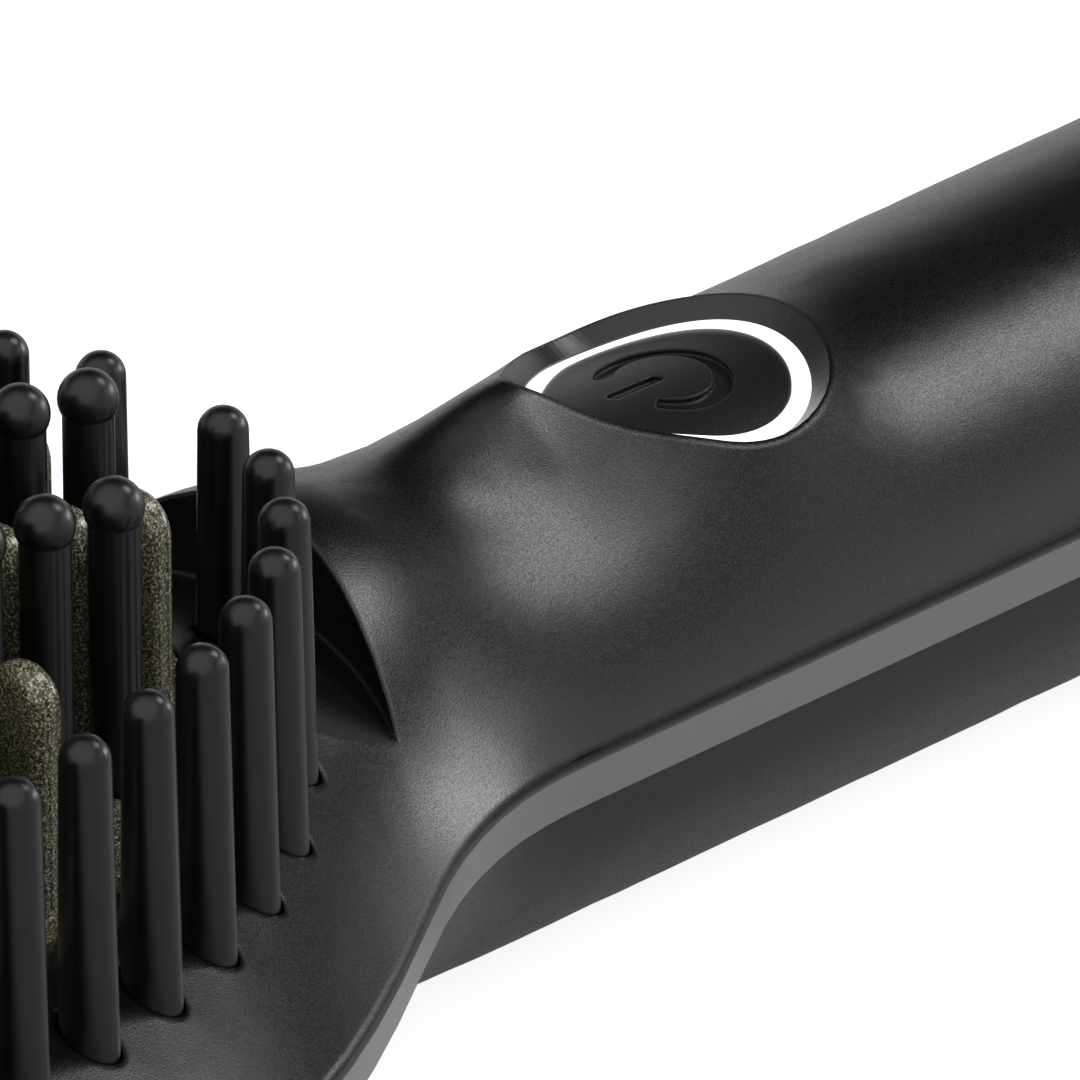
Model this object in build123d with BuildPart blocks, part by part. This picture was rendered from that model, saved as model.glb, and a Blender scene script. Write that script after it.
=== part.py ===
from build123d import *
import os
from math import atan2, copysign, cos, degrees, exp, hypot, pi, radians, sin, sqrt, tan

os.makedirs("parts", exist_ok=True)

# A hair straightening brush, millimetres. +X runs to the handle's end, +Z is the way the bristles
# point. The origin is the middle of the overall length, on the plane that the back rests on.

# Overall form
overall_length = 285.0
parting_height = 13.0          # rest plane up to the middle of the side trim
head_half_length = 57.5
head_half_width = 34.5
head_crown = 12.2              # deck crown above the parting plane
head_end_power = 3.0           # how square the head's far end is
neck_reach = 62.0              # head centre to the start of the handle
handle_half_width = 14.3
handle_crest = 10.83           # at the neck, above the parting plane
handle_rise = 0.97             # and how much higher it is over the next handle_rise_length
handle_rise_length = 50.0
back_depth = 13.7              # back crown below the parting plane
flare_length = 14.5            # neck start back to the steepest part of the flare
flare_rise = 5.1
flare_slope = 0.66
shoulder_back = 29.0           # neck start back to the head's shoulder
shoulder_drop = 6.3
shoulder_slope = 0.50
end_round = 15.0               # length over which the handle rounds off
end_face_share = 0.64          # flat end face against the handle's section

# Walls and the side trim
shell_wall = 2.2
trim_height = 2.3
trim_draft = 0.25              # the trim's lower edge inside its upper edge
rear_step = 0.3                # the rear housing's rim inside the front housing's
shadow_gap = 0.6
trim_width = 2.6
trim_rib_inset = 1.5
seat_clearance = 0.02

head_x = -overall_length / 2 + head_half_length
neck_x = head_x + neck_reach
gland_reach = 12.0             # how far the swivel gland stands out of the handle
handle_end_x = overall_length / 2 - gland_reach
shoulder_x = neck_x - shoulder_back
shoulder_width = head_half_width - shoulder_drop
flare_x = neck_x - flare_length
end_round_x = handle_end_x - end_round
front_rim = trim_height / 2 + shadow_gap
rear_rim = trim_height / 2

# Lip at the neck and the swell round the button
lip_radius = 26.2
lip_from_neck = 7.55
lip_floor = 8.1
lip_floor_slope = 0.324
lip_floor_crown = 0.0165
lip_swell = 2.35
lip_swell_from_neck = 6.3
lip_swell_length = 7.0
button_swell = 2.85            # rise of the shell round the button's recess
swell_start = (6.9, 22.4)      # from the neck, where the rise begins and is full along the handle
swell_end = (20.4, 30.1)       # and where it falls off again
swell_side = (2.7, 13.1)       # the same across the handle
drop_tip_x = neck_x + 9.4      # the recess's narrow end, where the rise is highest
tip_swell = 2.85
tip_swell_x = drop_tip_x - 0.8
tip_swell_length = 6.1
tip_swell_width = 3.6
front_fullness_drop = 0.17
front_fullness_reach = 53.7    # from the neck, where the handle's section is reached
rear_fullness_drop = 0.5
fullness_start_x = flare_x - 4


def smooth(value, start, end):
    """A smooth step from 0 at start to 1 at end."""
    t = min(max((value - start) / (end - start), 0.0), 1.0)
    return t * t * (3 - 2 * t)


def hermite(x, x0, w0, slope0, x1, w1, slope1):
    """A cubic from (x0, w0) to (x1, w1) with the given slopes."""
    span = x1 - x0
    t = (x - x0) / span
    start = (2 * t**3 - 3 * t**2 + 1) * w0 + (t**3 - 2 * t**2 + t) * span * slope0
    return start + (3 * t**2 - 2 * t**3) * w1 + (t**3 - t**2) * span * slope1


def end_share(x):
    """How much of the handle's section is left as its end rounds off."""
    reach = min(max((x - end_round_x) / end_round, 0.0), 1.0)
    full = (1 - end_face_share**2.5) ** (1 / 2.5)
    return (1 - (reach * full) ** 2.5) ** (1 / 2.5)


def half_width(x):
    """Half the outline's width at x."""
    if x < head_x:
        reach = min((head_x - x) / head_half_length, 1.0)
        return head_half_width * sqrt(1 - reach**head_end_power)
    if x < shoulder_x:
        return hermite(x, head_x, head_half_width, 0, shoulder_x, shoulder_width, -shoulder_slope)
    if x < flare_x:
        return hermite(x, shoulder_x, shoulder_width, -shoulder_slope,
                       flare_x, handle_half_width + flare_rise, -flare_slope)
    if x < neck_x:
        return hermite(x, flare_x, handle_half_width + flare_rise, -flare_slope, neck_x, handle_half_width, 0)
    return handle_half_width * end_share(x)


def crest(x):
    """Height of the front shell's crest above the parting plane."""
    body = head_crown + (handle_crest - head_crown) * smooth(x, shoulder_x, neck_x)
    body += handle_rise * min(max((x - neck_x) / handle_rise_length, 0), 1.5)
    swell = lip_swell * exp(-(((x - neck_x + lip_swell_from_neck) / lip_swell_length) ** 2))
    return (body + swell) * end_share(x)


def front_fullness(x):
    """Power of the front section's curve: 1 is the head's parabola, the handle's is fuller."""
    return 1 - front_fullness_drop * smooth(x, fullness_start_x, neck_x + front_fullness_reach)


def rear_fullness(x):
    """Power of the rear section's curve: 1 is the head's parabola, 0.5 the handle's ellipse."""
    return 1 - rear_fullness_drop * smooth(x, fullness_start_x, neck_x)


def swell(x, y):
    """The soft rise of the handle round the button's recess, highest at its narrow end."""
    along = smooth(x - neck_x, *swell_start) * (1 - smooth(x - neck_x, *swell_end))
    tip = exp(-(((x - tip_swell_x) / tip_swell_length) ** 2) - (y / tip_swell_width) ** 2)
    return button_swell * along * (1 - smooth(abs(y), *swell_side)) + tip_swell * tip


def front_height(x, y, inset=0.0):
    """Height of the front shell above the parting plane, or of its inner face."""
    width = half_width(x) - inset
    share = max(1 - (y / width) ** 2, 0.0)
    rise = crest(x) - front_rim - inset
    return front_rim + rise * share ** front_fullness(x) + swell(x, y) * sqrt(share)


section_points = 10
# Places of the sections from the head's centre, close together where the outline turns
neck_stations = [0, 9, 17, 24, 30, 35, 39.5, 43.5, 47.5, 51, 54.5, 58, 62, 66, 70, 73.5, 77, 81, 85,
                 89, 93, 97, 102, 108]
round_stations = [0.0, 0.3, 0.55, 0.75, 0.88, 0.96, 1.0]


def section_rows(x, inset):
    """Places across a section: even on the head's parabola, closer towards the rims on the handle."""
    width = half_width(x) - inset
    roundness = 2 * (1 - rear_fullness(x))
    steps = [step / section_points for step in range(-section_points, section_points + 1)]
    return [width * ((1 - roundness) * step + roundness * sin(radians(90 * step))) for step in steps]


def front_section(x, inset):
    """The front shell's section at x, as points from one rim over the crest to the other."""
    return [(y, parting_height + front_height(x, y, inset)) for y in section_rows(x, inset)]


def rear_section(x, inset):
    """The rear shell's section at x, from one rim under the back to the other."""
    width = half_width(x) - inset
    depth = back_depth * end_share(x) - rear_rim - inset
    points = []
    for y in section_rows(x, inset):
        share = max(1 - (y / width) ** 2, 0.0)
        points.append((y, parting_height - rear_rim - depth * share ** rear_fullness(x)))
    return points


def head_level(share, inset):
    """The head's far outline scaled to one level of its dome, as points round the whole oval."""
    length = (head_half_length - inset) * (1 - share) ** (1 / head_end_power)
    width = (head_half_width - inset) * sqrt(1 - share)
    points = []
    for step in range(-12, 13):
        turn = radians(90 * step / 12)
        y = width * sin(turn)
        points.append((head_x - length * cos(turn) ** (2 / head_end_power), y))
    return points


levels = [0, 0.06, 0.15, 0.28, 0.44, 0.6, 0.75, 0.87, 0.95, 0.99]
dome_overlap = 1.0             # how far the far dome reaches into the rest of the shell
dome_step = 0.10               # and how much smaller it is there, so that the faces don't coincide


def matched_spline(points, guide):
    """A spline whose parameters are spaced as guide's points are, so that a loft's sections match."""
    run = [0.0]
    for near, far in zip(guide, guide[1:]):
        run.append(run[-1] + hypot(far[0] - near[0], far[1] - near[1]))
    places = [length / run[-1] for length in run]
    return Edge.make_spline([Vector(x, y) for x, y in points], parameters=places)


def even_guide(half_count):
    """Evenly spaced guide points for matched_spline."""
    return [(step, 0) for step in range(-half_count, half_count + 1)]


def shell_blank(inset, front):
    """The solid inside one housing's outer face, or inside its inner face."""
    section = front_section if front else rear_section
    rim = front_rim if front else -rear_rim
    rise = head_crown - front_rim - inset if front else -(back_depth - rear_rim - inset)
    straight_x = head_x + neck_stations[-1]
    straight = [straight_x + (end_round_x - straight_x) * share for share in (0.25, 0.5, 0.75)]
    stations = [head_x + station for station in neck_stations] + straight
    stations += [end_round_x + (end_round - inset) * station for station in round_stations]
    with BuildPart() as blank:
        for x in stations:
            with BuildSketch(Plane.YZ.offset(x)):
                with BuildLine():
                    curve = matched_spline(section(x, inset), even_guide(section_points))
                    add(curve)
                    Line(curve @ 1, curve @ 0)
                make_face()
        loft()
        for level in levels:
            height = parting_height + rim + rise * level
            with BuildSketch(Plane.XY.offset(height)):
                with BuildLine():
                    curve = matched_spline(head_level(level, inset + dome_step), head_level(0, 0))
                    add(curve)
                    reach = (dome_overlap, 0)
                    near = Line(curve @ 0, curve @ 0 + reach)
                    far = Line(curve @ 1, curve @ 1 + reach)
                    Line(near @ 1, far @ 1)
                make_face()
        loft()
    return blank.part


# The front shell's and the rear shell's solid forms, outside and inside
front_form = shell_blank(0, True)
front_space = shell_blank(shell_wall, True)
rear_form = shell_blank(rear_step, False)
rear_space = shell_blank(rear_step + shell_wall, False)

# Ring of cool bristles round the deck, standing on a flat ring-shaped frame
ring_half_length = 48.5
ring_half_width = 26.0
ring_power = 2.25
bristles_per_side = 23
neck_gap = 8.5                 # between the two bristles either side of the lip
bristle_top = 22.0             # above the parting plane
bristle_tip_diameter = 2.45
bristle_foot_length = 3.3      # across the frame
bristle_foot_width = 2.5
slot_gap = 0.05
frame_top = 1.5
frame_thickness = 2.0
frame_outwards = 3.4           # frame beyond the bristles' line
frame_inwards = 5.1

# Heater plate with its fins, and the ball-tipped pins that come up through it
plate_inset = 4.4              # plate edge inside the bristles' line
plate_gap = 0.45
plate_proud = 0.3
plate_thickness = 1.8
skirt_wall = 1.0
column_pitch = 4.4             # along the brush
pin_rows = ((4.2, 39.4), (12.3, 33.35))               # y, and first pin from the head's centre
fin_rows = ((0.0, 38.5), (8.2, 38.5), (16.0, 24.0))
fin_width = 4.1
fin_thickness = 1.8
fin_edge = 0.75
fin_blank = 14.6               # length of a fin, its root in the plate
fin_dome = (26.5, 0.0021, 0.0156)                     # crown of the fins' tops, fall along x and y
pin_dome = (29.1, 0.0022, 0.0127)                     # the same for the ball centres
pin_diameter = 2.5
ball_diameter = 2.95
pin_hole_gap = 0.3
carrier_inset = 5.4
carrier_top = 0.9
carrier_thickness = 1.4

# Heaters under the plate
heater_half_length = 26.0
heater_width = 4.6
heater_row = 8.2               # also the row of the pin carrier's posts
heater_top = 7.0
heater_thickness = 2.2
mica_thickness = 0.5
clamp_thickness = 1.5
clamp_half_width = 10.6
clamp_columns = (4, 9, 14)     # gaps between pins that the bosses stand in
carrier_columns = (2, 16)
stud_radius = 2.2
small_screw_radius = 1.1
small_head_radius = 2.0
small_head_height = 1.5
clamp_screw_reach = 5.0        # how far the small screws stand in their bosses
carrier_screw_reach = 6.0
board_screw_reach = 4.0
tip_room = 0.3                 # past a screw's tip
sensor_pad_level = 9.0
fuse_x = head_x - 3 * column_pitch
thermistor_x = head_x + 2 * column_pitch
fuse_radius = 1.5
fuse_length = 9.0
thermistor_size = (5.0, 2.6, 1.8)
wire_radius = 0.6
wire_row = 1.3

# Power button: a drop whose narrow end points to the head, in a bezel and a light guide
drop_length = 19.4
drop_radius = 7.8
button_middle_x = drop_tip_x + drop_length - drop_radius
drop_tip_radius = 1.2
drop_side_radius = 26.0
bezel_wall = 0.9
bezel_drop = 0.15              # the bezel's top below the shell's surface
bezel_rise = 1.3               # at most this far over the cap's surface
bezel_foot = 5.6
ledge_thickness = 1.0
ledge_inset = 1.35
guide_wall = 0.9
guide_rise = 0.15              # the light guide's top over the cap's surface
button_gap = 0.08
cap_crown = 10.5               # of the button's cap, above the parting plane, at its middle
cap_radius = 15.0
cap_slope = -0.02
button_ceiling = 7.6
button_wall = 1.2
button_travel = 0.7
stop_gap = 0.3
flange_inset = 1.5
flange_thickness = 0.8
symbol_radius = 3.5            # outer radius of the engraved power symbol
symbol_line = 1.04
symbol_back = 0.65             # its centre from the button's middle, towards the head
symbol_depth = 0.35
symbol_opening = 38.0          # half the ring's opening, in degrees
plunger_radius = 1.5
plunger_head_radius = 3.0
plunger_head = 0.8

# Circuit board in the handle
board_start_x = neck_x + 8
board_end_x = neck_x + 90
board_half_width = 9.5
board_top = 1.0
board_thickness = 1.6
switch_side = 6.0
switch_height = 2.0
switch_knob = 0.6
switch_knob_radius = 1.7
board_screw_x = (board_start_x + 4.0, board_end_x - 4.0)

# Screws that hold the housings together, from the back
screw_places = ((neck_x - 4, 5.5), (neck_x - 4, -5.5), (neck_x + 97, 0), (neck_x + 124, 0))
boss_radius = 3.3
screw_radius = 1.3
screw_clearance = 0.2
screw_head_radius = 2.6
screw_head_height = 1.8
screw_head_level = -8.2
screw_tip_level = 4.6

# Collar and swivel gland at the handle's end
gland_level = -0.7
collar_radius = 6.4
collar_proud = 1.5
collar_flange_radius = 7.1
collar_flange = 2.5
collar_cut_x = handle_end_x - 4    # start of the housings' opening for the collar
flange_face_x = handle_end_x - rear_step - shell_wall - seat_clearance
gland_radius = 4.9
gland_running_gap = 0.05
gland_head_radius = 6.2
gland_tip_radius = 4.6
gland_step = 3.0
body_gap = 0.3                 # between pieces that move past each other
cord_bore_radius = 3.2
retainer_thickness = 2.0
retainer_radius = 6.4
contact_radius = 5.0
contact_wall = 0.8
contact_width = 1.5
contact_x = (handle_end_x - 13.5, handle_end_x - 17.5)


def up(height):
    """A height above the parting plane, as a height above the rest plane."""
    return parting_height + height


def oval_face(inset):
    """The bristles' line as a superellipse round the head's centre, drawn in by inset."""
    points = []
    for step in range(48):
        turn = 2 * pi * step / 48
        x = (ring_half_length - inset) * copysign(abs(cos(turn)) ** (2 / ring_power), cos(turn))
        y = (ring_half_width - inset) * copysign(abs(sin(turn)) ** (2 / ring_power), sin(turn))
        points.append((head_x + x, y))
    with BuildSketch(Plane.XY) as face:
        with BuildLine():
            Spline(points, periodic=True)
        make_face()
    return face.sketch


def outline_face(inset):
    """The brush's plan outline, drawn in by inset."""
    neck = [(head_x + s, half_width(head_x + s) - inset) for s in neck_stations]
    end = [end_round_x + (end_round - inset) * s for s in round_stations]
    tail = [(x, half_width(x) - inset) for x in end]
    with BuildSketch(Plane.XY) as face:
        with BuildLine():
            Spline(head_level(0, inset))
            for side in (1, -1):
                Spline([(x, side * y) for x, y in neck])
                Line((neck[-1][0], side * neck[-1][1]), (tail[0][0], side * tail[0][1]))
                Spline([(x, side * y) for x, y in tail])
            Line(tail[-1], (tail[-1][0], -tail[-1][1]))
        make_face()
    return face.sketch


def drop_face(inset):
    """The button's drop outline drawn in by inset, from arcs that keep their centres."""
    big = Vector(drop_tip_x + drop_length - drop_radius, 0)
    tip = Vector(drop_tip_x + drop_tip_radius, 0)
    apart = (big - tip).X
    big_reach = drop_side_radius - drop_radius
    tip_reach = drop_side_radius - drop_tip_radius
    along = (apart**2 + tip_reach**2 - big_reach**2) / (2 * apart)
    across = sqrt(tip_reach**2 - along**2)
    radius = drop_side_radius - inset
    ends = []
    with BuildSketch(Plane.XY) as face:
        with BuildLine():
            for side in (1, -1):
                centre = tip + Vector(along, -side * across)
                start_way = (tip - centre).normalized()
                end_way = (big - centre).normalized()
                if inset > drop_tip_radius:
                    start_way = Vector(-sqrt(1 - (across / radius) ** 2), side * across / radius)
                middle_way = (start_way + end_way).normalized()
                start = centre + start_way * radius
                end = centre + end_way * radius
                ThreePointArc(start, centre + middle_way * radius, end)
                ends.append((start, end))
            ThreePointArc(ends[0][1], big + Vector(drop_radius - inset, 0), ends[1][1])
            if inset <= drop_tip_radius:
                ThreePointArc(ends[0][0], tip - Vector(drop_tip_radius - inset, 0), ends[1][0])
        make_face()
    return face.sketch


def ring_places():
    """Each bristle's x, y and the angle of the ring's outward normal there."""
    path = []
    for step in range(401):
        turn = pi * step / 400
        x = ring_half_length * copysign(abs(cos(turn)) ** (2 / ring_power), cos(turn))
        path.append((head_x + x, ring_half_width * sin(turn) ** (2 / ring_power)))
    run = [0.0]
    for near, far in zip(path, path[1:]):
        run.append(run[-1] + hypot(far[0] - near[0], far[1] - near[1]))
    first = neck_gap / 2
    spacing = (run[-1] - first) / (bristles_per_side - 0.5)
    places = []
    for count in range(bristles_per_side):
        target = first + spacing * count
        index = max(i for i, length in enumerate(run[:-1]) if length <= target)
        share = (target - run[index]) / (run[index + 1] - run[index])
        step_x = path[index + 1][0] - path[index][0]
        step_y = path[index + 1][1] - path[index][1]
        x = path[index][0] + share * step_x
        y = path[index][1] + share * step_y
        normal = degrees(atan2(-step_x, step_y))
        places += [(x, y, normal), (x, -y, -normal)]
    return places


def deck_height(x, y):
    """Height of the deck above the parting plane, on the far dome too."""
    if x >= head_x:
        return front_height(x, y)
    reach = ((head_x - x) / head_half_length) ** head_end_power
    return front_rim + (head_crown - front_rim) * (1 - reach - (y / head_half_width) ** 2)


def plate_edge(y):
    """How far along the brush the plate reaches at y, from the head's centre."""
    share = max(1 - (abs(y) / (ring_half_width - plate_inset)) ** ring_power, 0)
    return (ring_half_length - plate_inset) * share ** (1 / ring_power)


def row_places(rows, half_size, margin, dome):
    """Each fin's or pin's x and y and the height of its top, in rows either side of the middle."""
    found = []
    for row, start in rows:
        for side in ((1, -1) if row else (1,)):
            room = plate_edge(row + half_size) - margin
            reach = start
            while reach > -room:
                height = dome[0] - dome[1] * reach**2 - dome[2] * row**2
                found.append((head_x + reach, side * row, height))
                reach -= column_pitch
    return found


ring = ring_places()
pins = row_places(pin_rows, pin_diameter / 2, 2.2, pin_dome)
fins = row_places(fin_rows, fin_width / 2, 1.6, fin_dome)


def column_x(index):
    """The middle between two pins of the rows next to the centre line."""
    return head_x + pin_rows[0][1] - column_pitch * (index + 0.5)


def plate_form(drop):
    """The solid under the plate's domed top, lowered by drop."""
    with BuildPart() as form:
        for reach in (-46, -38, -29, -18, -6, 6, 18, 29, 36, 41, 46):
            x = head_x + reach
            side = min(ring_half_width - 3, half_width(x) - 0.5)
            with BuildSketch(Plane.YZ.offset(x)):
                with BuildLine():
                    points = [side * step / 9 for step in range(-9, 10)]
                    curve = matched_spline([(y, up(deck_height(x, y) + plate_proud - drop)) for y in points],
                                           even_guide(9))
                    add(curve)
                    Polyline(curve @ 1, (side, up(-8)), (-side, up(-8)), curve @ 0)
                make_face()
        loft()
    return form.part


def lip_form(drop, grow):
    """The cutter behind the lip: everything over a rising floor, inside an upright cylinder."""
    lip_x = neck_x - lip_from_neck + grow
    side = lip_radius + grow + 1
    low = up(lip_floor - lip_floor_slope * (1 + grow) - drop)
    with BuildPart() as form:
        with BuildSketch(Plane.YZ.offset(lip_x + 1)):
            with BuildLine():
                points = [side * step / 2 for step in (-2, -1, 0, 1, 2)]
                curve = Spline([(y, low - lip_floor_crown * y * y) for y in points])
                Polyline(curve @ 1, (side, up(30)), (-side, up(30)), curve @ 0)
            make_face()
        extrude(amount=2 * side * 1.1, dir=(-1, 0, lip_floor_slope))
        with BuildSketch(Plane.XY):
            with Locations((lip_x - lip_radius - grow, 0)):
                Circle(lip_radius + grow)
        extrude(amount=up(40), mode=Mode.INTERSECT)
    return form.part


def cap_form(rise):
    """The long round solid whose top is the button's cap surface, raised by rise."""
    with BuildPart() as form:
        with Locations(Location((button_middle_x, 0, up(cap_crown + rise - cap_radius)),
                                (0, 90 - degrees(atan2(cap_slope, 1)), 0))):
            Cylinder(cap_radius, 2 * drop_length)
    return form.part


def at_level(level):
    """The plan at a height above the parting plane."""
    return Plane.XY.offset(up(level))


def end_plane(x):
    """An upright plane across the gland's axis at x, its normal along +X."""
    return Plane(origin=(x, 0, up(gland_level)), x_dir=(0, 1, 0), z_dir=(1, 0, 0))


# Posts under the bristle frame, on the bristles' line, and under the pin carrier
frame_posts = [(head_x + ring_half_length, 0), (head_x - ring_half_length, 0)]
frame_post_reach = 24.0
frame_post_y = ring_half_width * (1 - (frame_post_reach / ring_half_length) ** ring_power) ** (1 / ring_power)
for post_x in (-frame_post_reach, frame_post_reach):
    frame_posts += [(head_x + post_x, frame_post_y), (head_x + post_x, -frame_post_y)]
carrier_post_reach = 12.0
carrier_posts = [(head_x + x, y) for x in (-carrier_post_reach, carrier_post_reach)
                 for y in (-heater_row, heater_row)]
post_radius = 2.4
frame_foot = frame_top - frame_thickness
carrier_foot = carrier_top - carrier_thickness
board_foot = board_top - board_thickness
boss_top = -0.2                # where the two housings' screw bosses meet
post_root = -6.0               # inside the back's wall, under the posts and bosses
cut_through = 60.0             # a cut or a blank that passes the whole height

# Front housing: the upper shell, with the deck, the lip and the handle's upper half
with BuildPart() as front_cavity:
    add(front_space)
    add(lip_form(shell_wall, 1.8), mode=Mode.SUBTRACT)
    with BuildSketch(at_level(boss_top)):
        with Locations(*screw_places):
            Circle(boss_radius)
    extrude(amount=cut_through, mode=Mode.SUBTRACT)

with BuildPart() as front_housing:
    add(front_form)
    add(front_cavity.part, mode=Mode.SUBTRACT)
    add(lip_form(0, 0), mode=Mode.SUBTRACT)
    add(oval_face(plate_inset - plate_gap))
    with BuildSketch(Plane.XY):
        for x, y, normal in ring:
            with Locations(Location((x, y, 0), (0, 0, normal))):
                Ellipse(bristle_foot_length / 2 + slot_gap, bristle_foot_width / 2 + slot_gap)
    add(drop_face(0))
    extrude(amount=cut_through, mode=Mode.SUBTRACT)
    with BuildSketch(at_level(boss_top + seat_clearance)):
        with Locations(*screw_places):
            Circle(boss_radius)
    extrude(amount=front_rim - boss_top + 1)
    with BuildSketch(at_level(boss_top)):
        with Locations(*screw_places):
            Circle(screw_radius)
    extrude(amount=screw_tip_level - boss_top + tip_room, mode=Mode.SUBTRACT)
    with BuildSketch(end_plane(collar_cut_x)):
        Circle(collar_radius + seat_clearance)
    extrude(amount=2 * shell_wall + 2, mode=Mode.SUBTRACT)
front_housing.part.label = "front_housing"
export_step(front_housing.part, "parts/front_housing.step")

# Rear housing: the back shell, with the posts and the screw bosses inside it
low_posts = [(x, y, frame_foot) for x, y in frame_posts] + [(x, y, carrier_foot) for x, y in carrier_posts]
low_posts += [(x, 0, board_foot) for x in board_screw_x]
with BuildPart() as rear_cavity:
    add(rear_space)
    with BuildSketch(Plane.XY):
        with Locations(*[(x, y) for x, y, _ in low_posts]):
            Circle(post_radius)
        with Locations(*screw_places):
            Circle(boss_radius)
    extrude(amount=cut_through, mode=Mode.SUBTRACT)
    with BuildSketch(at_level(gland_level - 2)):
        with Locations(*[(x, 0) for x in contact_x]):
            Rectangle(contact_width, 2 * contact_radius)
    extrude(amount=-20, mode=Mode.SUBTRACT)

with BuildPart() as rear_housing:
    add(rear_form)
    add(rear_cavity.part, mode=Mode.SUBTRACT)
    for x, y, level in low_posts:
        with BuildSketch(at_level(post_root)):
            with Locations((x, y)):
                Circle(post_radius)
        extrude(amount=level - seat_clearance - post_root)
    with BuildSketch(at_level(post_root)):
        with Locations(*screw_places):
            Circle(boss_radius)
    extrude(amount=boss_top - seat_clearance - post_root)
    with BuildSketch(Plane.XY):
        with Locations(*screw_places):
            Circle(screw_radius + screw_clearance)
    extrude(amount=up(5), mode=Mode.SUBTRACT)
    with BuildSketch(Plane.XY):
        with Locations(*screw_places):
            Circle(screw_head_radius + screw_clearance)
    extrude(amount=up(screw_head_level), mode=Mode.SUBTRACT)
    with BuildSketch(at_level(board_foot)):
        with Locations(*[(x, 0) for x in board_screw_x]):
            Circle(small_screw_radius)
    extrude(amount=-board_screw_reach - tip_room, mode=Mode.SUBTRACT)
    with BuildSketch(end_plane(collar_cut_x)):
        Circle(collar_radius + seat_clearance)
    extrude(amount=2 * shell_wall + 2, mode=Mode.SUBTRACT)
    with BuildSketch(end_plane(contact_x[1] - contact_width)):
        Circle(contact_radius + seat_clearance)
    extrude(amount=contact_x[0] - contact_x[1] + 2 * contact_width, mode=Mode.SUBTRACT)
    with BuildSketch(Plane.XY):
        Rectangle(2 * overall_length, 3 * head_half_width)
    extrude(amount=-2, mode=Mode.SUBTRACT)
rear_housing.part.label = "rear_housing"
export_step(rear_housing.part, "parts/rear_housing.step")

# Side trim: the band between the housings, with a rib that the front housing stands on
with BuildPart() as side_trim:
    with BuildSketch(at_level(-rear_rim)):
        add(outline_face(trim_draft))
    with BuildSketch(at_level(rear_rim)):
        add(outline_face(0))
    loft(ruled=True)
    with BuildSketch(at_level(-rear_rim)):
        add(outline_face(trim_width))
    extrude(amount=trim_height, mode=Mode.SUBTRACT)
    with BuildSketch(at_level(rear_rim)):
        add(outline_face(trim_rib_inset))
        add(outline_face(trim_width), mode=Mode.SUBTRACT)
    extrude(amount=shadow_gap)
    with BuildSketch(end_plane(collar_cut_x)):
        Circle(collar_radius + seat_clearance)
    extrude(amount=2 * shell_wall + 2, mode=Mode.SUBTRACT)
    with BuildSketch(end_plane(flange_face_x - collar_flange - stop_gap)):
        Circle(collar_flange_radius + seat_clearance)
    extrude(amount=collar_flange + stop_gap + seat_clearance, mode=Mode.SUBTRACT)
side_trim.part.label = "side_trim"
export_step(side_trim.part, "parts/side_trim.step")

# Heater plate: a domed tray with fins on top, pads for the heaters and studs for screws below
stud_places = [(column_x(index), 0) for index in clamp_columns]
long_stud_places = [(column_x(index), 0) for index in carrier_columns]
clamp_top = heater_top - 2 * seat_clearance - heater_thickness - mica_thickness - seat_clearance
with BuildPart() as tray_cavity:
    add(oval_face(plate_inset + skirt_wall))
    extrude(amount=cut_through)
    add(plate_form(plate_thickness), mode=Mode.INTERSECT)
    with BuildSketch(at_level(heater_top)):
        with Locations((head_x, heater_row), (head_x, -heater_row)):
            Rectangle(2 * heater_half_length, heater_width)
    extrude(amount=20, mode=Mode.SUBTRACT)
    with BuildSketch(at_level(clamp_top + seat_clearance)):
        with Locations(*stud_places):
            Circle(stud_radius)
    extrude(amount=20, mode=Mode.SUBTRACT)
    with BuildSketch(at_level(carrier_top + seat_clearance)):
        with Locations(*long_stud_places):
            Circle(stud_radius)
    extrude(amount=20, mode=Mode.SUBTRACT)
    with BuildSketch(at_level(sensor_pad_level)):
        with Locations((fuse_x, 0)):
            Rectangle(fuse_length, 2 * fuse_radius)
        with Locations((thermistor_x, 0)):
            Rectangle(thermistor_size[0], thermistor_size[1])
    extrude(amount=20, mode=Mode.SUBTRACT)

with BuildPart() as fin:
    with BuildSketch(Plane.YZ):
        with Locations((0, -fin_width / 2)):
            Circle(fin_width / 2)
        with Locations((0, -(fin_width / 2 + fin_blank) / 2)):
            Rectangle(fin_width, fin_blank - fin_width / 2)
    extrude(amount=fin_thickness / 2, both=True)
    faces = fin.faces().filter_by(Axis.X)
    lower = fin.edges().filter_by(Axis.Y)
    fillet([edge for face in faces for edge in face.edges() if edge not in lower], fin_edge)

with BuildPart() as heater_plate:
    with BuildSketch(at_level(frame_top + seat_clearance)):
        add(oval_face(plate_inset))
    extrude(amount=20)
    add(plate_form(0), mode=Mode.INTERSECT)
    with Locations(*[(x, y, up(level)) for x, y, level in fins]):
        add(fin.part)
    add(tray_cavity.part, mode=Mode.SUBTRACT)
    with BuildSketch(Plane.XY):
        with Locations(*[(x, y) for x, y, _ in pins]):
            Circle(pin_diameter / 2 + pin_hole_gap)
    extrude(amount=cut_through, mode=Mode.SUBTRACT)
    with BuildSketch(at_level(clamp_top)):
        with Locations(*stud_places):
            Circle(small_screw_radius)
    extrude(amount=clamp_screw_reach + tip_room, mode=Mode.SUBTRACT)
    with BuildSketch(at_level(carrier_top)):
        with Locations(*long_stud_places):
            Circle(small_screw_radius)
    extrude(amount=carrier_screw_reach + tip_room, mode=Mode.SUBTRACT)
    with BuildSketch(at_level(frame_top)):
        with Locations((head_x + ring_half_length - plate_inset, 0)):
            Rectangle(8, 4 * wire_row)
    extrude(amount=4.5, mode=Mode.SUBTRACT)
heater_plate.part.label = "heater_plate"
export_step(heater_plate.part, "parts/heater_plate.step")

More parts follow.
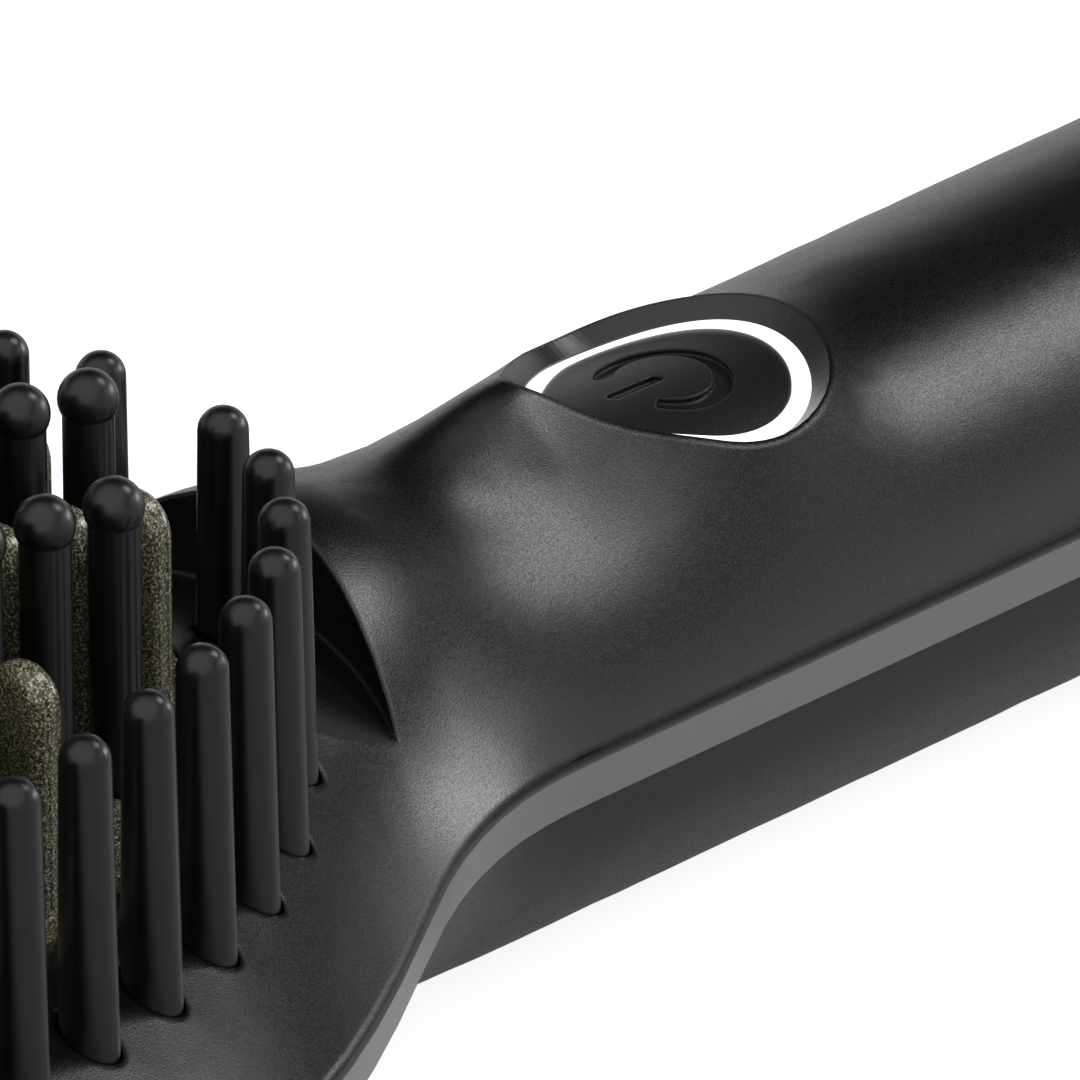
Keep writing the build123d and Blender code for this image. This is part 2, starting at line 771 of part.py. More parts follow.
# Bristle frame: the ring of cool bristles, each tapering from an oval foot to a round tip
with BuildPart() as bristle:
    foot_level = up(frame_top - 0.5)
    with BuildSketch(Plane.XY.offset(foot_level)):
        Ellipse(bristle_foot_length / 2, bristle_foot_width / 2)
    with BuildSketch(at_level(bristle_top)):
        Circle(bristle_tip_diameter / 2)
    loft()
    fillet(bristle.faces().sort_by(Axis.Z)[-1].edges(), 0.49 * bristle_tip_diameter)

with BuildPart() as outer_bristle_frame:
    with BuildSketch(at_level(frame_top - frame_thickness)):
        add(oval_face(-frame_outwards))
        add(oval_face(frame_inwards), mode=Mode.SUBTRACT)
    extrude(amount=frame_thickness)
    for x, y, normal in ring:
        with Locations(Location((x, y, 0), (0, 0, normal))):
            add(bristle.part)
outer_bristle_frame.part.label = "outer_bristle_frame"
export_step(outer_bristle_frame.part, "parts/outer_bristle_frame.step")

# Pin carrier: a flat plate under the heaters, its ball-tipped pins pass up through the plate
with BuildPart() as ball_pin_carrier:
    with BuildSketch(at_level(carrier_foot)):
        add(oval_face(carrier_inset))
        with Locations(*long_stud_places):
            Circle(small_screw_radius + screw_clearance, mode=Mode.SUBTRACT)
    extrude(amount=carrier_thickness)
    for x, y, level in pins:
        with BuildSketch(at_level(carrier_top - 0.5)):
            with Locations((x, y)):
                Circle(pin_diameter / 2)
        extrude(amount=level - carrier_top + 0.5)
        with Locations((x, y, up(level))):
            Sphere(ball_diameter / 2)
ball_pin_carrier.part.label = "ball_pin_carrier"
export_step(ball_pin_carrier.part, "parts/ball_pin_carrier.step")

# Ceramic heaters: two flat elements against the plate's pads
heater_level = heater_top - seat_clearance - heater_thickness
standing = (Align.CENTER, Align.CENTER, Align.MIN)
with BuildPart() as ceramic_heaters:
    with Locations(*[(head_x, row, up(heater_level)) for row in (heater_row, -heater_row)]):
        Box(2 * heater_half_length, heater_width, heater_thickness, align=standing)
ceramic_heaters.part.label = "ceramic_heaters"
export_step(ceramic_heaters.part, "parts/ceramic_heaters.step")


def clamp_face(screw_hole):
    """The plan shared by the mica sheet and the clamp: clear of every pin, with three holes."""
    with BuildSketch(Plane.XY) as face:
        with Locations((head_x, 0)):
            Rectangle(2 * heater_half_length, 2 * clamp_half_width)
        with Locations(*[(x, y) for x, y, _ in pins if abs(y) < clamp_half_width]):
            Circle(pin_diameter / 2 + pin_hole_gap, mode=Mode.SUBTRACT)
        with Locations(*stud_places):
            Circle(screw_hole, mode=Mode.SUBTRACT)
    return face.sketch


# Mica sheet: keeps the clamp off the heaters' live faces
mica_level = heater_level - seat_clearance - mica_thickness
with BuildPart() as mica_sheet:
    add(clamp_face(stud_radius + screw_clearance).moved(Location((0, 0, up(mica_level)))))
    extrude(amount=mica_thickness)
mica_sheet.part.label = "mica_sheet"
export_step(mica_sheet.part, "parts/mica_sheet.step")

# Heater clamp: the plate that presses the heaters up against their pads
clamp_foot = clamp_top - clamp_thickness
with BuildPart() as heater_clamp:
    add(clamp_face(small_screw_radius + screw_clearance).moved(Location((0, 0, up(clamp_foot)))))
    extrude(amount=clamp_thickness)
heater_clamp.part.label = "heater_clamp"
export_step(heater_clamp.part, "parts/heater_clamp.step")


def screw_group(spots, shank_radius, head_radius, head_height, head_level, tip_level, upward):
    """Pan-head screws: head_level is the face that the head bears on."""
    way = 1 if upward else -1
    with BuildPart() as group:
        for x, y in spots:
            with BuildSketch(at_level(head_level)):
                with Locations((x, y)):
                    Circle(head_radius)
            extrude(amount=-way * head_height)
            with BuildSketch(at_level(head_level)):
                with Locations((x, y)):
                    Circle(shank_radius - 0.05)
            extrude(amount=way * abs(tip_level - head_level))
            with BuildSketch(at_level(head_level - way * head_height)):
                with Locations((x, y)):
                    Rectangle(head_radius, 0.5)
                    Rectangle(0.5, head_radius)
            extrude(amount=way * 0.5 * head_height, mode=Mode.SUBTRACT)
    return group.part


# Clamp screws: three short ones for the clamp, two longer ones for the pin carrier
with BuildPart() as clamp_screws:
    add(screw_group(stud_places, small_screw_radius, small_head_radius, small_head_height,
                    clamp_foot - seat_clearance, clamp_top + clamp_screw_reach, True))
    add(screw_group(long_stud_places, small_screw_radius, small_head_radius, small_head_height,
                    carrier_foot - seat_clearance, carrier_top + carrier_screw_reach, True))
clamp_screws.part.label = "clamp_screws"
export_step(clamp_screws.part, "parts/clamp_screws.step")

# Thermal fuse: a small metal can against its pad, lying along the brush
with BuildPart() as thermal_fuse:
    with BuildSketch(Plane.YZ.offset(fuse_x - fuse_length / 2)):
        with Locations((0, up(sensor_pad_level - seat_clearance - fuse_radius))):
            Circle(fuse_radius)
    extrude(amount=fuse_length)
    fillet(thermal_fuse.edges().filter_by(GeomType.CIRCLE), 0.3)
thermal_fuse.part.label = "thermal_fuse"
export_step(thermal_fuse.part, "parts/thermal_fuse.step")

# Thermistor: a glass bead in its mount, against its own pad
with BuildPart() as thermistor:
    with Locations((thermistor_x, 0, up(sensor_pad_level - seat_clearance))):
        Box(*thermistor_size, align=(Align.CENTER, Align.CENTER, Align.MAX))
    fillet(thermistor.edges().filter_by(Axis.Z), 0.4)
thermistor.part.label = "thermistor"
export_step(thermistor.part, "parts/thermistor.step")

# Circuit board: lies along the handle on two posts
with BuildPart() as circuit_board:
    with BuildSketch(at_level(board_foot)):
        with Locations(((board_start_x + board_end_x) / 2, 0)):
            RectangleRounded(board_end_x - board_start_x, 2 * board_half_width, 2)
        with Locations(*[(x, 0) for x in board_screw_x]):
            Circle(small_screw_radius + screw_clearance, mode=Mode.SUBTRACT)
    extrude(amount=board_thickness)
circuit_board.part.label = "circuit_board"
export_step(circuit_board.part, "parts/circuit_board.step")

# Board screws: into the two posts, their heads on the board
with BuildPart() as board_screws:
    add(screw_group([(x, 0) for x in board_screw_x], small_screw_radius, small_head_radius,
                    small_head_height, board_top + seat_clearance, board_foot - board_screw_reach, False))
board_screws.part.label = "board_screws"
export_step(board_screws.part, "parts/board_screws.step")

# Power components: film capacitor, switching device with its heat tab, fuse and choke, on the board
component_level = up(board_top + seat_clearance)
with BuildPart() as power_components:
    with Locations((board_start_x + 32, 0, component_level)):
        Box(13, 6, 6, align=standing)
    with Locations((board_start_x + 45, -4, component_level)):
        Box(10, 4.5, 4, align=standing)
    with Locations((board_start_x + 45, 4, component_level)):
        Cylinder(3.2, 5.5, align=standing)
    with Locations((board_start_x + 57, 0, component_level)):
        Cylinder(5, 5.5, align=standing)
        Cylinder(2, 5.5, align=standing, mode=Mode.SUBTRACT)
    with Locations((board_start_x + 68, 0, component_level)):
        Box(6, 12, 3.5, align=standing)
    fillet(power_components.edges().filter_by(Axis.Z).filter_by(GeomType.LINE), 0.4)
power_components.part.label = "power_components"
export_step(power_components.part, "parts/power_components.step")

# Status lights: two small lamps on the board, under the light guide
light_row = drop_radius - 1.5
with BuildPart() as status_leds:
    with Locations(*[(button_middle_x, row, component_level) for row in (light_row, -light_row)]):
        Box(3, 1.6, 1.2, align=standing)
status_leds.part.label = "status_leds"
export_step(status_leds.part, "parts/status_leds.step")

# Tactile switch on the board, under the button
switch_top = board_top + seat_clearance + switch_height + switch_knob
with BuildPart() as tactile_switch:
    with Locations((button_middle_x, 0, component_level)):
        Box(switch_side, switch_side, switch_height, align=standing)
        Cylinder(switch_knob_radius, switch_height + switch_knob, align=standing)
tactile_switch.part.label = "tactile_switch"
export_step(tactile_switch.part, "parts/tactile_switch.step")

# Button bezel: the dark wall of the recess, with a ledge that the light guide stands on
with BuildPart() as button_bezel:
    with BuildSketch(at_level(bezel_foot)):
        add(drop_face(seat_clearance))
        add(drop_face(bezel_wall), mode=Mode.SUBTRACT)
    extrude(amount=20)
    add(front_form.moved(Location((0, 0, -bezel_drop))), mode=Mode.INTERSECT)
    add(cap_form(bezel_rise), mode=Mode.INTERSECT)
    with BuildSketch(at_level(bezel_foot)):
        add(drop_face(bezel_wall - 0.2))
        add(drop_face(ledge_inset), mode=Mode.SUBTRACT)
    extrude(amount=ledge_thickness)
button_bezel.part.label = "button_bezel"
export_step(button_bezel.part, "parts/button_bezel.step")

# Light guide: the white band round the button
guide_foot = bezel_foot + ledge_thickness + seat_clearance
guide_inset = bezel_wall + seat_clearance
with BuildPart() as light_guide:
    with BuildSketch(at_level(guide_foot)):
        add(drop_face(guide_inset))
        add(drop_face(guide_inset + guide_wall), mode=Mode.SUBTRACT)
    extrude(amount=20)
    add(cap_form(guide_rise), mode=Mode.INTERSECT)
light_guide.part.label = "light_guide"
export_step(light_guide.part, "parts/light_guide.step")

# Power button: a hollow cap that slides in the light guide, with a flange that stops it
button_inset = guide_inset + guide_wall + button_gap
flange_top = bezel_foot - stop_gap
symbol_x = button_middle_x - symbol_back
with BuildPart() as symbol_cut:
    with BuildSketch(at_level(button_ceiling)):
        with Locations((symbol_x, 0)):
            Circle(symbol_radius)
            Circle(symbol_radius - symbol_line, mode=Mode.SUBTRACT)
        reach = 2 * symbol_radius
        across = reach * tan(radians(symbol_opening))
        with BuildLine():
            Polyline((symbol_x, 0), (symbol_x - reach, across), (symbol_x - reach, -across), close=True)
        make_face(mode=Mode.SUBTRACT)
        with Locations((symbol_x - 0.5 * symbol_radius - 0.3, 0)):
            RectangleRounded(symbol_radius + 0.2, 0.7 * symbol_line, 0.3 * symbol_line)
    extrude(amount=8)
    add(cap_form(-symbol_depth), mode=Mode.SUBTRACT)

with BuildPart() as power_button:
    with BuildSketch(at_level(flange_top - flange_thickness)):
        add(drop_face(button_inset))
    extrude(amount=20)
    add(cap_form(0), mode=Mode.INTERSECT)
    with BuildSketch(at_level(flange_top - flange_thickness)):
        add(drop_face(flange_inset - 0.6))
    extrude(amount=flange_thickness)
    with BuildSketch(at_level(flange_top - flange_thickness)):
        add(drop_face(button_inset + button_wall))
    extrude(amount=button_ceiling - flange_top + flange_thickness, mode=Mode.SUBTRACT)
    add(symbol_cut.part, mode=Mode.SUBTRACT)
power_button.part.label = "power_button"
export_step(power_button.part, "parts/power_button.step")

# Switch plunger: the stem under the button that presses the switch
with BuildPart() as switch_plunger:
    with BuildSketch(at_level(switch_top + button_travel + stop_gap)):
        with Locations((button_middle_x, 0)):
            Circle(plunger_radius)
    extrude(amount=button_ceiling - seat_clearance - switch_top - button_travel - stop_gap)
    with BuildSketch(at_level(button_ceiling - seat_clearance)):
        with Locations((button_middle_x, 0)):
            Circle(plunger_head_radius)
    extrude(amount=-plunger_head)
switch_plunger.part.label = "switch_plunger"
export_step(switch_plunger.part, "parts/switch_plunger.step")

# Housing screws: up through the back into the front housing's bosses
with BuildPart() as housing_screws:
    add(screw_group(screw_places, screw_radius, screw_head_radius, screw_head_height,
                    screw_head_level - seat_clearance, screw_tip_level, True))
housing_screws.part.label = "housing_screws"
export_step(housing_screws.part, "parts/housing_screws.step")


def wire(points, radius):
    """A round wire along a path with rounded corners."""
    with BuildPart() as lead:
        with BuildLine():
            path = FilletPolyline(*points, radius=radius)
        with BuildSketch(Plane(origin=path @ 0, z_dir=path % 0)):
            Circle(wire_radius)
        sweep()
    return lead.part


# Heater leads: from the heaters' ends, between the pins and out over the frame to the board
lead_level = up(3.6)
pad_level = board_top + wire_radius + 0.1
lead_x = column_x(1)
with BuildPart() as heater_leads:
    for side in (1, -1):
        start_x = head_x + heater_half_length + stop_gap
        start_level = up(heater_level + heater_thickness / 2)
        add(wire([(start_x, side * heater_row, start_level), (lead_x, side * heater_row, lead_level),
                  (lead_x, side * wire_row, lead_level), (board_start_x - 4, side * wire_row, lead_level),
                  (board_start_x - 1, side * 5, up(pad_level)), (board_start_x + 3, side * 5, up(pad_level))],
                 1.0))
heater_leads.part.label = "heater_leads"
export_step(heater_leads.part, "parts/heater_leads.step")

# Supply leads: from the contacts at the swivel to the board's end, either side of the screws
with BuildPart() as supply_leads:
    for side, x in zip((1, -1), contact_x):
        row = side * (contact_radius + wire_radius + seat_clearance)
        add(wire([(board_end_x - 3, row, up(pad_level)), (board_end_x + 1, row, up(pad_level)),
                  (board_end_x + 6, row, up(gland_level)), (x, row, up(gland_level))], 1.5))
supply_leads.part.label = "supply_leads"
export_step(supply_leads.part, "parts/supply_leads.step")

# End collar: a flanged ring in the handle's end that the gland turns in
with BuildPart() as end_collar:
    with BuildSketch(end_plane(flange_face_x - collar_flange)):
        Circle(collar_flange_radius)
    extrude(amount=collar_flange)
    with BuildSketch(end_plane(flange_face_x - collar_flange)):
        Circle(collar_radius)
    extrude(amount=handle_end_x + collar_proud - flange_face_x + collar_flange)
    chamfer(end_collar.faces().sort_by(Axis.X)[-1].edges(), 0.4)
    with BuildSketch(end_plane(flange_face_x - collar_flange)):
        Circle(gland_radius + gland_running_gap)
    extrude(amount=20, mode=Mode.SUBTRACT)
end_collar.part.label = "end_collar"
export_step(end_collar.part, "parts/end_collar.step")

# Swivel gland: turns in the collar, with the bore that the cord enters through
head_start_x = handle_end_x + collar_proud + body_gap
retainer_x = flange_face_x - collar_flange - body_gap - retainer_thickness
with BuildPart() as swivel_gland:
    with BuildSketch(end_plane(retainer_x - 1)):
        Circle(gland_radius)
    extrude(amount=head_start_x - retainer_x + 1)
    with BuildSketch(end_plane(head_start_x)):
        Circle(gland_head_radius)
    extrude(amount=gland_step)
    with BuildSketch(end_plane(head_start_x + gland_step)):
        Circle(gland_head_radius - 0.6)
    with BuildSketch(end_plane(overall_length / 2)):
        Circle(gland_tip_radius)
    loft()
    fillet(swivel_gland.faces().sort_by(Axis.X)[-1].edges(), 0.6)
    with BuildSketch(end_plane(retainer_x - 1)):
        Circle(cord_bore_radius)
    extrude(amount=40, mode=Mode.SUBTRACT)
swivel_gland.part.label = "swivel_gland"
export_step(swivel_gland.part, "parts/swivel_gland.step")

# Swivel retainer: the ring on the gland's inner end that keeps it in the collar
with BuildPart() as swivel_retainer:
    with BuildSketch(end_plane(retainer_x)):
        Circle(retainer_radius)
        Circle(gland_radius + seat_clearance, mode=Mode.SUBTRACT)
    extrude(amount=retainer_thickness)
swivel_retainer.part.label = "swivel_retainer"
export_step(swivel_retainer.part, "parts/swivel_retainer.step")

# Swivel contacts: two brass rings in the back housing's cradles
with BuildPart() as swivel_contacts:
    for x in contact_x:
        with BuildSketch(end_plane(x - contact_width / 2)):
            Circle(contact_radius)
            Circle(contact_radius - contact_wall, mode=Mode.SUBTRACT)
        extrude(amount=contact_width)
swivel_contacts.part.label = "swivel_contacts"
export_step(swivel_contacts.part, "parts/swivel_contacts.step")
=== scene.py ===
from math import atan2, cos, pi, radians, sin, sqrt
import bmesh
import bpy
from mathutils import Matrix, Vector
from mathutils.bvhtree import BVHTree


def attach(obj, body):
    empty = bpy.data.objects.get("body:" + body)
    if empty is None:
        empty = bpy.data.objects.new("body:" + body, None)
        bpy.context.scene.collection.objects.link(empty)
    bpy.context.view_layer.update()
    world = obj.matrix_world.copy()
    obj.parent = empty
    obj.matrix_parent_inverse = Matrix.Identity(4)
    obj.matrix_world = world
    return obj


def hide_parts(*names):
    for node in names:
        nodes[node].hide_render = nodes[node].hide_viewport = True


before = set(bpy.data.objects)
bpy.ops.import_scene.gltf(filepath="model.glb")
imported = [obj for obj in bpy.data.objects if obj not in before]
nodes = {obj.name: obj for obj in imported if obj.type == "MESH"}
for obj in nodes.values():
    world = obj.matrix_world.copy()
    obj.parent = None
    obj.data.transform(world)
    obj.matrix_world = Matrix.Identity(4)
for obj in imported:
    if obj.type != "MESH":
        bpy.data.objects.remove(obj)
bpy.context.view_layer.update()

# Housings: two moulded plastic shells with a soft-touch lacquer, screwed together from the back.
# The lacquer is matte, nearly black and grainy, so that its highlights sparkle. Its real grain of a
# few hundredths of a millimetre is drawn at 0.1, or it would not show.


def linear(code):
    """An sRGB hex colour as linear values for a shader's socket."""
    values = [int(code[i:i + 2], 16) / 255 for i in (1, 3, 5)]
    return [v / 12.92 if v <= 0.04045 else ((v + 0.055) / 1.055) ** 2.4 for v in values] + [1.0]


def new_node(tree, kind, settings=None, inputs=None):
    """Adds a shader node, sets its properties and values, and links what is given as a socket."""
    node = tree.nodes.new(kind)
    for name, value in (settings or {}).items():
        setattr(node, name, value)
    for name, value in (inputs or {}).items():
        if isinstance(value, bpy.types.NodeSocket):
            tree.links.new(value, node.inputs[name])
        else:
            node.inputs[name].default_value = value
    return node


def new_material(name):
    """An empty node material with its output and a link to its surface ready to make."""
    material = bpy.data.materials.new(name)
    material.use_nodes = True
    material.node_tree.nodes.clear()
    output = material.node_tree.nodes.new("ShaderNodeOutputMaterial")
    return material, material.node_tree, output


def grain(tree, size_mm, detail=2.0, rough=0.6):
    """A fine even noise in real size, on the object's own coordinates."""
    place = new_node(tree, "ShaderNodeTexCoord")
    return new_node(tree, "ShaderNodeTexNoise", inputs={
        "Vector": place.outputs["Object"], "Scale": 1000 / size_mm, "Detail": detail, "Roughness": rough})


def moulded(name, colour, roughness, grain_mm, height_mm, spread=0.0, edge_mm=0.0):
    """Moulded or lacquered plastic: one colour, a noisy roughness, a fine bump and softened edges."""
    material, tree, output = new_material(name)
    noise = grain(tree, grain_mm)
    rough = new_node(tree, "ShaderNodeMapRange", inputs={
        "Value": noise.outputs["Fac"], "From Min": 0.3, "From Max": 0.7,
        "To Min": roughness - spread, "To Max": roughness + spread})
    bump = new_node(tree, "ShaderNodeBump", inputs={
        "Height": noise.outputs["Fac"], "Strength": 1.0, "Distance": height_mm / 1000})
    if edge_mm:
        edge = new_node(tree, "ShaderNodeBevel", {"samples": 6}, {"Radius": edge_mm / 1000})
        tree.links.new(edge.outputs["Normal"], bump.inputs["Normal"])
    shader = new_node(tree, "ShaderNodeBsdfPrincipled", inputs={
        "Base Color": linear(colour), "Roughness": rough.outputs["Result"], "IOR": 1.5,
        "Normal": bump.outputs["Normal"]})
    tree.links.new(shader.outputs["BSDF"], output.inputs["Surface"])
    return material


def finish_node(name, material):
    """Gives a carried-over CAD node its material."""
    piece = nodes[name]
    piece.data.materials.clear()
    piece.data.materials.append(material)


soft_touch = moulded("soft_touch_lacquer", "#0c0c0d", 0.27, 0.10, 0.010, spread=0.09, edge_mm=0.45)
finish_node("front_housing", soft_touch)
finish_node("rear_housing", soft_touch)

# Side trim: a band of smooth grey moulded plastic held between the two shells, which shows
# a long reflection along the handle.
trim_plastic = moulded("gloss_grey_moulding", "#777777", 0.12, 0.5, 0.0005, spread=0.01)
finish_node("side_trim", trim_plastic)

# Heater plate: cast aluminium with its fins in one piece, under a speckled ceramic coating
# of olive grey with light and dark flecks of about a tenth of a millimetre.


def speckled(name):
    """A coating of three olive tones in fine flecks, slightly glossy over a faint bump."""
    material, tree, output = new_material(name)
    fine = grain(tree, 0.13, detail=2.0, rough=0.7)
    coarse = grain(tree, 1.6, detail=1.0)
    ramp = new_node(tree, "ShaderNodeValToRGB", inputs={"Fac": fine.outputs["Fac"]})
    ramp.color_ramp.elements[0].position = 0.36
    ramp.color_ramp.elements[0].color = linear("#1f1f1a")
    ramp.color_ramp.elements[1].position = 0.66
    ramp.color_ramp.elements[1].color = linear("#c4c0a2")
    middle = ramp.color_ramp.elements.new(0.52)
    middle.color = linear("#55523d")
    rough = new_node(tree, "ShaderNodeMapRange", inputs={
        "Value": coarse.outputs["Fac"], "To Min": 0.2, "To Max": 0.36})
    bump = new_node(tree, "ShaderNodeBump", inputs={
        "Height": fine.outputs["Fac"], "Strength": 1.0, "Distance": 0.00001})
    shader = new_node(tree, "ShaderNodeBsdfPrincipled", inputs={
        "Base Color": ramp.outputs["Color"], "Roughness": rough.outputs["Result"], "Metallic": 0.2,
        "IOR": 1.5, "Normal": bump.outputs["Normal"]})
    shader.inputs["Coat Weight"].default_value = 0.5
    shader.inputs["Coat Roughness"].default_value = 0.12
    tree.links.new(shader.outputs["BSDF"], output.inputs["Surface"])
    return material


finish_node("heater_plate", speckled("speckled_ceramic_coating"))

# Cool bristles and ball pins: moulded heat-resistant nylon, black with a slight gloss.
nylon = moulded("black_nylon", "#0b0b0c", 0.31, 1.2, 0.004, spread=0.03)
finish_node("outer_bristle_frame", nylon)
finish_node("ball_pin_carrier", nylon)

# Bezel, power button and light guide: a dark glossy wall, a finely spark-eroded cap with the
# power symbol sunk in it, and a white translucent band that is lit from below.
bezel_plastic = moulded("dark_bezel_moulding", "#1a1a1c", 0.3, 0.4, 0.002, spread=0.03)
cap_plastic = moulded("textured_black_cap", "#0a0a0b", 0.38, 0.10, 0.010, spread=0.06, edge_mm=0.2)
finish_node("power_button", cap_plastic)
finish_node("switch_plunger", cap_plastic)


def lit_white(name, strength):
    """White translucent moulding that glows a little; strength is that of its own light."""
    material, tree, output = new_material(name)
    shader = new_node(tree, "ShaderNodeBsdfPrincipled", inputs={
        "Base Color": linear("#f4f5f6"), "Roughness": 0.4, "Emission Color": linear("#ffffff"),
        "Emission Strength": strength})
    tree.links.new(shader.outputs["BSDF"], output.inputs["Surface"])
    return material


finish_node("light_guide", lit_white("lit_white_band", 1.0))

# The bezel's own wall: a smooth collar pressed into the shell, whose face slopes in from the
# recess's rim to the white band. It follows the same drop outline as the recess.
drop_tip, drop_length, drop_radius = -0.0136, 0.0194, 0.0078
drop_tip_radius, drop_side_radius = 0.0012, 0.026
bezel_points = 192
bezel_foot = 0.0186
bezel_gap = 0.00003            # between the collar and the shell, and over the white band
bezel_width = 0.00091          # from the recess's rim to the white band's outer edge
rim_search = 0.00008           # how far outside the rim the shell's height is read
band_search = 0.0011           # how far inside it the band's height is read


def drop_outline(inset):
    """The recess's outline drawn in by inset, as evenly shared points from the tip round and back."""
    big_x, tip_x = drop_tip + drop_length - drop_radius, drop_tip + drop_tip_radius
    apart = big_x - tip_x
    big_reach, tip_reach = drop_side_radius - drop_radius, drop_side_radius - drop_tip_radius
    along = (apart**2 + tip_reach**2 - big_reach**2) / (2 * apart)
    across = sqrt(tip_reach**2 - along**2)
    tip_turn = atan2(across, -along)
    big_turn = atan2(across, apart - along)
    half = bezel_points // 2
    arcs = ((tip_x, 0.0, drop_tip_radius, pi, tip_turn, half // 8),
            (tip_x + along, -across, drop_side_radius, tip_turn, big_turn, half // 2),
            (big_x, 0.0, drop_radius, big_turn, 0.0, half - half // 8 - half // 2))
    side = []
    for centre_x, centre_y, radius, start, end, steps in arcs:
        for step in range(steps):
            turn = start + (end - start) * step / steps
            side.append((centre_x + (radius - inset) * cos(turn), centre_y + (radius - inset) * sin(turn)))
    last = (big_x + drop_radius - inset, 0.0)
    return side + [last] + [(x, -y) for x, y in reversed(side[1:])]


def heights_over(name, outline):
    """Heights of a node's upper face along an outline; a place that misses takes its neighbour's."""
    shape = bmesh.new()
    shape.from_mesh(nodes[name].data)
    faces = BVHTree.FromBMesh(shape)
    shape.free()
    hits = [faces.ray_cast(Vector((x, y, 0.1)), Vector((0, 0, -1)))[0] for x, y in outline]
    good = [index for index, hit in enumerate(hits) if hit]
    return [hits[min(good, key=lambda other: abs(other - index))].z for index in range(len(hits))]


rim, foot_line = drop_outline(bezel_gap), drop_outline(bezel_width)
rim_heights = heights_over("front_housing", drop_outline(-rim_search))
band_heights = heights_over("light_guide", drop_outline(band_search))
shape = bmesh.new()
ring = bmesh.ops.create_circle(shape, segments=bezel_points, radius=0.01)["verts"]
for vert, (x, y), z in zip(ring, rim, rim_heights):
    vert.co = (x, y, z - bezel_gap)
foot_heights = [bezel_foot] * bezel_points
edges = list(shape.edges)
for outline, heights in ((foot_line, [z + bezel_gap for z in band_heights]),
                         (foot_line, foot_heights), (rim, foot_heights)):
    made = bmesh.ops.extrude_edge_only(shape, edges=edges)["geom"]
    edges = [item for item in made if isinstance(item, bmesh.types.BMEdge)
             and all(v in made for v in item.verts)]
    ring = [next(edge.other_vert(old) for edge in old.link_edges if edge.other_vert(old) in made)
            for old in ring]
    for vert, (x, y), z in zip(ring, outline, heights):
        vert.co = (x, y, z)
bmesh.ops.bridge_loops(shape, edges=[e for e in shape.edges if e.is_boundary])
bmesh.ops.recalc_face_normals(shape, faces=shape.faces)
bezel_mesh = bpy.data.meshes.new("bezel_wall")
shape.to_mesh(bezel_mesh)
shape.free()
bezel = bpy.data.objects.new("bezel_wall", bezel_mesh)
bpy.context.scene.collection.objects.link(bezel)
bezel_mesh.materials.append(bezel_plastic)
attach(bezel, "base")
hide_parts("button_bezel")

# Everything inside the shells: heaters, board, screws and leads, in their plain materials.


def metal(name, colour, roughness):
    """A plain metal whose roughness varies over a few tenths of a millimetre."""
    material, tree, output = new_material(name)
    noise = grain(tree, 0.3)
    rough = new_node(tree, "ShaderNodeMapRange", inputs={
        "Value": noise.outputs["Fac"], "To Min": roughness - 0.08, "To Max": roughness + 0.08})
    shader = new_node(tree, "ShaderNodeBsdfPrincipled", inputs={
        "Base Color": linear(colour), "Metallic": 1.0, "Roughness": rough.outputs["Result"]})
    tree.links.new(shader.outputs["BSDF"], output.inputs["Surface"])
    return material


zinc = metal("zinc_plated_steel", "#c3c6ca", 0.32)
for name in ("heater_clamp", "clamp_screws", "board_screws", "housing_screws", "thermal_fuse",
             "swivel_retainer"):
    finish_node(name, zinc)
finish_node("swivel_contacts", metal("turned_brass", "#c9a45c", 0.28))
finish_node("ceramic_heaters", moulded("fired_ceramic", "#dcd8ca", 0.6, 0.3, 0.004, spread=0.05))
finish_node("mica_sheet", moulded("pressed_mica", "#b7a98a", 0.3, 0.8, 0.01, spread=0.1))
component = moulded("component_case", "#1d1d20", 0.4, 0.3, 0.004, spread=0.05)
for name in ("thermistor", "power_components", "tactile_switch"):
    finish_node(name, component)
finish_node("circuit_board", moulded("board_solder_mask", "#1c5a34", 0.3, 0.5, 0.006, spread=0.05))
finish_node("status_leds", lit_white("lamp_lens", 0.5))
lead_sheath = moulded("silicone_sheath", "#8c2018", 0.5, 0.3, 0.004, spread=0.05)
finish_node("heater_leads", lead_sheath)
finish_node("supply_leads", lead_sheath)

# Swivel gland and its collar at the handle's end: matte moulded plastic, turned by hand.
finish_node("swivel_gland", soft_touch)
finish_node("end_collar", trim_plastic)

# Floor and backdrop: plain white, so that only the object's soft shadow shows.
floor_mesh = bpy.data.meshes.new("floor")
shape = bmesh.new()
bmesh.ops.create_grid(shape, x_segments=1, y_segments=1, size=3.0)
shape.to_mesh(floor_mesh)
shape.free()
floor = bpy.data.objects.new("floor", floor_mesh)
bpy.context.scene.collection.objects.link(floor)
material, tree, output = new_material("white_paper")
path = new_node(tree, "ShaderNodeLightPath")
seen = new_node(tree, "ShaderNodeMath", {"operation": "MULTIPLY_ADD"}, {
    0: path.outputs["Is Glossy Ray"], 1: 0.1, 2: path.outputs["Is Camera Ray"]})
paper = new_node(tree, "ShaderNodeBsdfDiffuse", inputs={"Color": linear("#c4c4c4")})
glow = new_node(tree, "ShaderNodeEmission", inputs={"Color": linear("#ffffff"), "Strength": 0.86})
lift = new_node(tree, "ShaderNodeAddShader", inputs={0: paper.outputs["BSDF"], 1: glow.outputs["Emission"]})
choice = new_node(tree, "ShaderNodeMixShader", inputs={
    "Fac": seen.outputs["Value"], 1: paper.outputs["BSDF"], 2: lift.outputs["Shader"]})
tree.links.new(choice.outputs["Shader"], output.inputs["Surface"])
floor.data.materials.append(material)

